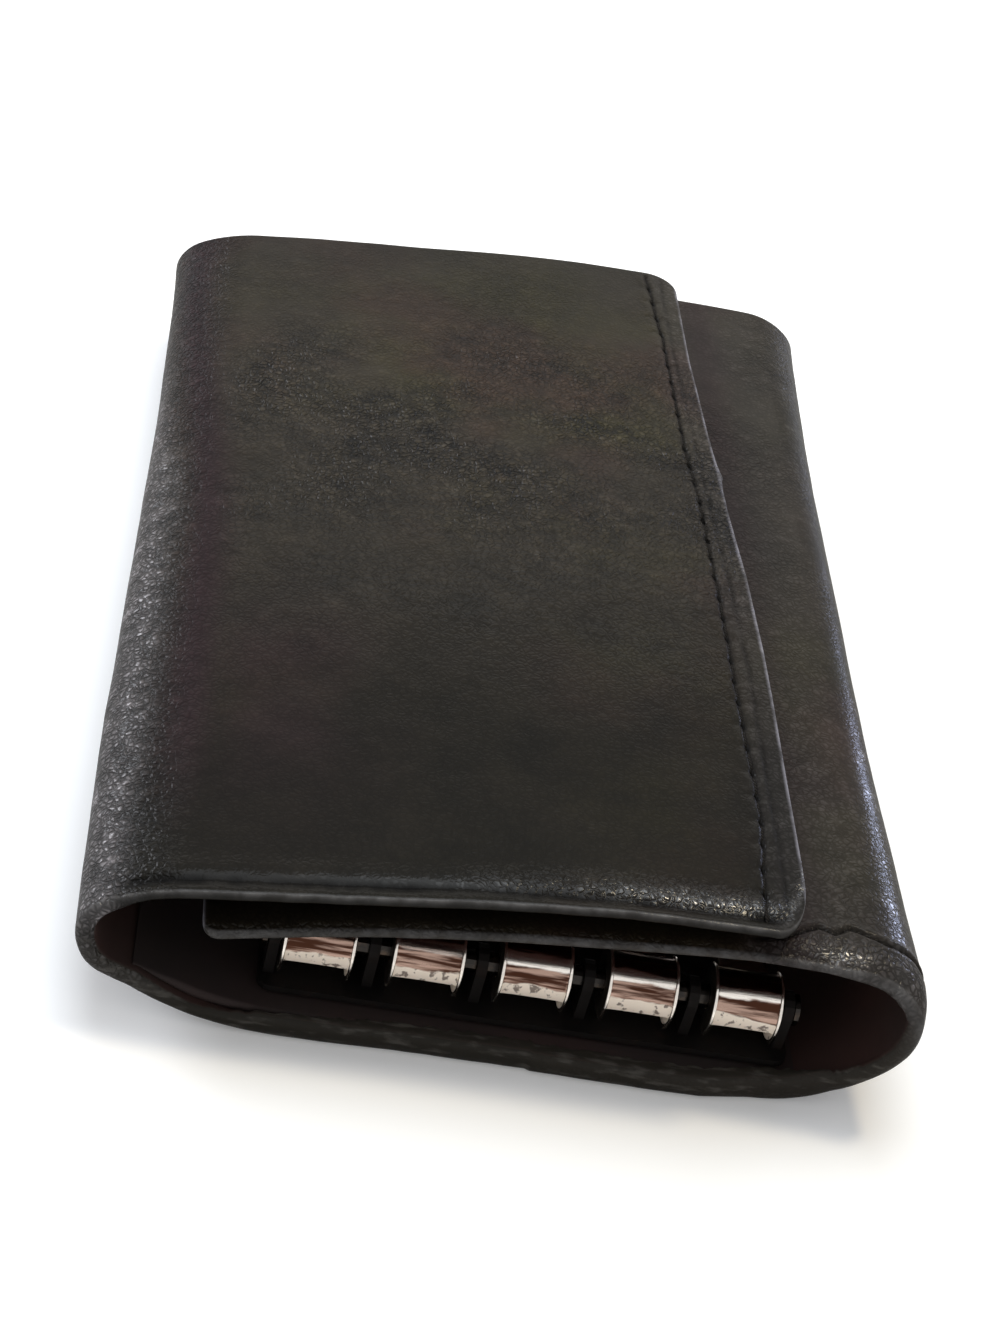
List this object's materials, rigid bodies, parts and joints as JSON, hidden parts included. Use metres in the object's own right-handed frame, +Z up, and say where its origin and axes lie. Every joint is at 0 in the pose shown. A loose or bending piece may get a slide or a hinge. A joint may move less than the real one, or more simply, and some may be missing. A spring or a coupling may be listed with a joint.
{
  "type": "key organizer",
  "caption": "Trifold leather key case with a flap held by a press stud and a rail of swivelling key hooks inside.",
  "frame": {"origin": "middle of the case seen from above, on the flat surface that it lies on", "axes": "+Z up from the surface, +Y along the case away from the key rail, +X across it towards the free edge of the outer flap"},
  "size_m": [0.0704, 0.112, 0.0184],
  "materials": {
    "leather": "fine pebbled black leather with a low sheen",
    "lining": "smooth dull maroon-black lining leather",
    "nickel": "polished warm nickel plate",
    "steel": "plain plated steel"
  },
  "bodies": {
    "case": {"center_panel": "leather", "center_lining": "lining", "rail_plate": "steel", "rail_rod": "nickel", "rail_rivet_1": "nickel", "rail_rivet_2": "nickel", "rail_washer_1": "steel", "rail_washer_2": "steel"},
    "outer_fold_lower": {"outer_fold_lower": "leather"},
    "outer_fold_upper": {"outer_fold_upper": "leather"},
    "outer_flap": {"outer_flap": "leather", "outer_flap_lining": "lining", "snap_cap": "steel", "snap_socket": "nickel"},
    "inner_fold_lower": {"inner_fold_lower": "leather"},
    "inner_fold_upper": {"inner_fold_upper": "leather"},
    "inner_flap": {"inner_flap": "leather", "inner_flap_lining": "lining", "snap_stud": "nickel", "snap_post": "steel"},
    "saddle_1": {"saddle_1": "nickel"},
    "hook_1": {"hook_1": "nickel", "gate_pin_1": "steel"},
    "gate_1": {"gate_1": "nickel"},
    "saddle_2": {"saddle_2": "nickel"},
    "hook_2": {"hook_2": "nickel", "gate_pin_2": "steel"},
    "gate_2": {"gate_2": "nickel"},
    "saddle_3": {"saddle_3": "nickel"},
    "hook_3": {"hook_3": "nickel", "gate_pin_3": "steel"},
    "gate_3": {"gate_3": "nickel"},
    "saddle_4": {"saddle_4": "nickel"},
    "hook_4": {"hook_4": "nickel", "gate_pin_4": "steel"},
    "gate_4": {"gate_4": "nickel"},
    "saddle_5": {"saddle_5": "nickel"},
    "hook_5": {"hook_5": "nickel", "gate_pin_5": "steel"},
    "gate_5": {"gate_5": "nickel"}
  },
  "joints": [
    {"name": "outer_fold_hinge", "type": "hinge", "parent": "case", "child": "outer_fold_lower", "pos_m": [-0.03263, 0, 0.00402], "axis": [0, -1, 0], "range_deg": [0, 57]},
    {"name": "outer_crease_hinge", "type": "hinge", "parent": "outer_fold_lower", "child": "outer_fold_upper", "pos_m": [-0.0352, 0, 0.00848], "axis": [0, -1, 0], "range_deg": [0, 57]},
    {"name": "outer_flap_hinge", "type": "hinge", "parent": "outer_fold_upper", "child": "outer_flap", "pos_m": [-0.0334, 0, 0.0116], "axis": [0, -1, 0], "range_deg": [0, 57]},
    {"name": "inner_fold_hinge", "type": "hinge", "parent": "case", "child": "inner_fold_lower", "pos_m": [0.0292, 0, 0.00114], "axis": [0, 1, 0], "range_deg": [0, 14.25]},
    {"name": "inner_crease_hinge", "type": "hinge", "parent": "inner_fold_lower", "child": "inner_fold_upper", "pos_m": [0.0352, 0, 0.01154], "axis": [0, 1, 0], "range_deg": [0, 14.25]},
    {"name": "inner_flap_hinge", "type": "hinge", "parent": "inner_fold_upper", "child": "inner_flap", "pos_m": [0.03315, 0, 0.01509], "axis": [0, 1, 0], "range_deg": [0, 14.25]},
    {"name": "swing_1", "type": "hinge", "parent": "case", "child": "saddle_1", "pos_m": [-0.0151, -0.0505, 0.0065], "axis": [1, 0, 0], "range_deg": [-2, 5]},
    {"name": "swivel_1", "type": "hinge", "parent": "saddle_1", "child": "hook_1", "pos_m": [-0.0151, -0.046, 0.0065], "axis": [0, 1, 0], "continuous": true},
    {"name": "gate_hinge_1", "type": "hinge", "parent": "hook_1", "child": "gate_1", "pos_m": [-0.0132, -0.03975, 0.0065], "axis": [0, 0, 1], "range_deg": [0, 15], "stiffness_Nm_per_rad": 0.02},
    {"name": "swing_2", "type": "hinge", "parent": "case", "child": "saddle_2", "pos_m": [-0.00595, -0.0505, 0.0065], "axis": [1, 0, 0], "range_deg": [-2, 8.5]},
    {"name": "swivel_2", "type": "hinge", "parent": "saddle_2", "child": "hook_2", "pos_m": [-0.00595, -0.046, 0.0065], "axis": [0, 1, 0], "continuous": true},
    {"name": "gate_hinge_2", "type": "hinge", "parent": "hook_2", "child": "gate_2", "pos_m": [-0.00405, -0.03975, 0.0065], "axis": [0, 0, 1], "range_deg": [0, 15], "stiffness_Nm_per_rad": 0.02},
    {"name": "swing_3", "type": "hinge", "parent": "case", "child": "saddle_3", "pos_m": [0.0032, -0.0505, 0.0065], "axis": [1, 0, 0], "range_deg": [-2, 11]},
    {"name": "swivel_3", "type": "hinge", "parent": "saddle_3", "child": "hook_3", "pos_m": [0.0032, -0.046, 0.0065], "axis": [0, 1, 0], "continuous": true},
    {"name": "gate_hinge_3", "type": "hinge", "parent": "hook_3", "child": "gate_3", "pos_m": [0.0051, -0.03975, 0.0065], "axis": [0, 0, 1], "range_deg": [0, 15], "stiffness_Nm_per_rad": 0.02},
    {"name": "swing_4", "type": "hinge", "parent": "case", "child": "saddle_4", "pos_m": [0.01235, -0.0505, 0.0065], "axis": [1, 0, 0], "range_deg": [-2, 12]},
    {"name": "swivel_4", "type": "hinge", "parent": "saddle_4", "child": "hook_4", "pos_m": [0.01235, -0.046, 0.0065], "axis": [0, 1, 0], "continuous": true},
    {"name": "gate_hinge_4", "type": "hinge", "parent": "hook_4", "child": "gate_4", "pos_m": [0.01425, -0.03975, 0.0065], "axis": [0, 0, 1], "range_deg": [0, 15], "stiffness_Nm_per_rad": 0.02},
    {"name": "swing_5", "type": "hinge", "parent": "case", "child": "saddle_5", "pos_m": [0.0215, -0.0505, 0.0065], "axis": [1, 0, 0], "range_deg": [-2, 13]},
    {"name": "swivel_5", "type": "hinge", "parent": "saddle_5", "child": "hook_5", "pos_m": [0.0215, -0.046, 0.0065], "axis": [0, 1, 0], "continuous": true},
    {"name": "gate_hinge_5", "type": "hinge", "parent": "hook_5", "child": "gate_5", "pos_m": [0.0234, -0.03975, 0.0065], "axis": [0, 0, 1], "range_deg": [0, 15], "stiffness_Nm_per_rad": 0.02}
  ],
  "couplings": [
    {"joint": "outer_crease_hinge", "follows": "outer_fold_hinge", "ratio": 1},
    {"joint": "outer_flap_hinge", "follows": "outer_fold_hinge", "ratio": 1},
    {"joint": "inner_fold_hinge", "follows": "outer_fold_hinge", "ratio": 0.25},
    {"joint": "inner_crease_hinge", "follows": "outer_fold_hinge", "ratio": 0.25},
    {"joint": "inner_flap_hinge", "follows": "outer_fold_hinge", "ratio": 0.25}
  ]
}
